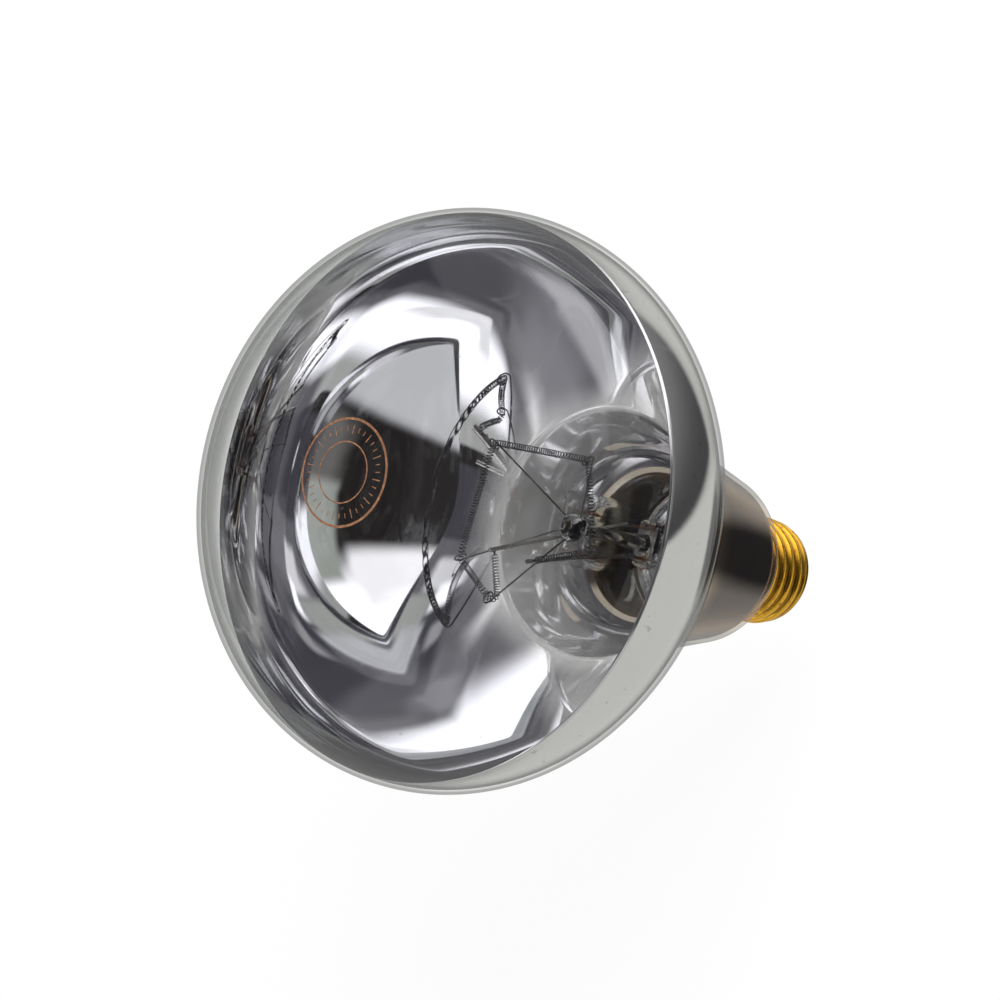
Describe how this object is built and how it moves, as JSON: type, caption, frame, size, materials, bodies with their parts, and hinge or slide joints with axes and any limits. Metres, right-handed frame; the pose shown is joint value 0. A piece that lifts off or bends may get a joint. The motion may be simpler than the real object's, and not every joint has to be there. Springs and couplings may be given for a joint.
{
  "type": "reflector heat lamp",
  "caption": "Infrared heat lamp: blown glass bulb with a mirrored bowl, a wound filament on a glass stem and a brass screw cap.",
  "frame": {"origin": "centre of the flat end contact of the screw cap", "axes": "+Z along the lamp's axis from the cap to the lit face, +X along the wide side of the glass press"},
  "size_m": [0.125, 0.125, 0.1681],
  "materials": {
    "envelope_glass": "clear soft glass, blown, glossy",
    "mirror_film": "vapour-deposited aluminium, mirror bright inside, grey outside",
    "stem_glass": "clear lead-free stem glass",
    "copper_clad_wire": "drawn wire with a red copper skin",
    "nickel_wire": "drawn nickel wire, satin",
    "tungsten": "drawn tungsten, dark grey",
    "molybdenum": "drawn molybdenum, grey",
    "cap_brass": "rolled sheet brass, bright with light stains",
    "black_glass": "opaque black glass",
    "contact_brass": "stamped sheet brass",
    "solder": "soft solder, dull silver",
    "cement": "baked resin and mineral cement"
  },
  "bodies": {
    "root": {"envelope": "envelope_glass", "mirror_coating": "mirror_film", "stem_flare": "stem_glass", "exhaust_tube": "stem_glass", "arbor_rod": "stem_glass", "dumet_seal_a": "copper_clad_wire", "dumet_seal_b": "copper_clad_wire", "lead_wire_a": "nickel_wire", "lead_wire_b": "nickel_wire", "outer_lead_a": "copper_clad_wire", "outer_lead_b": "copper_clad_wire", "filament": "tungsten", "support_wire_1": "molybdenum", "support_wire_2": "molybdenum", "support_wire_3": "molybdenum", "support_wire_4": "molybdenum", "support_wire_5": "molybdenum", "screw_shell": "cap_brass", "cap_insulator": "black_glass", "contact_plate": "contact_brass", "centre_solder": "solder", "side_solder": "solder", "cap_cement": "cement"}
  },
  "joints": []
}
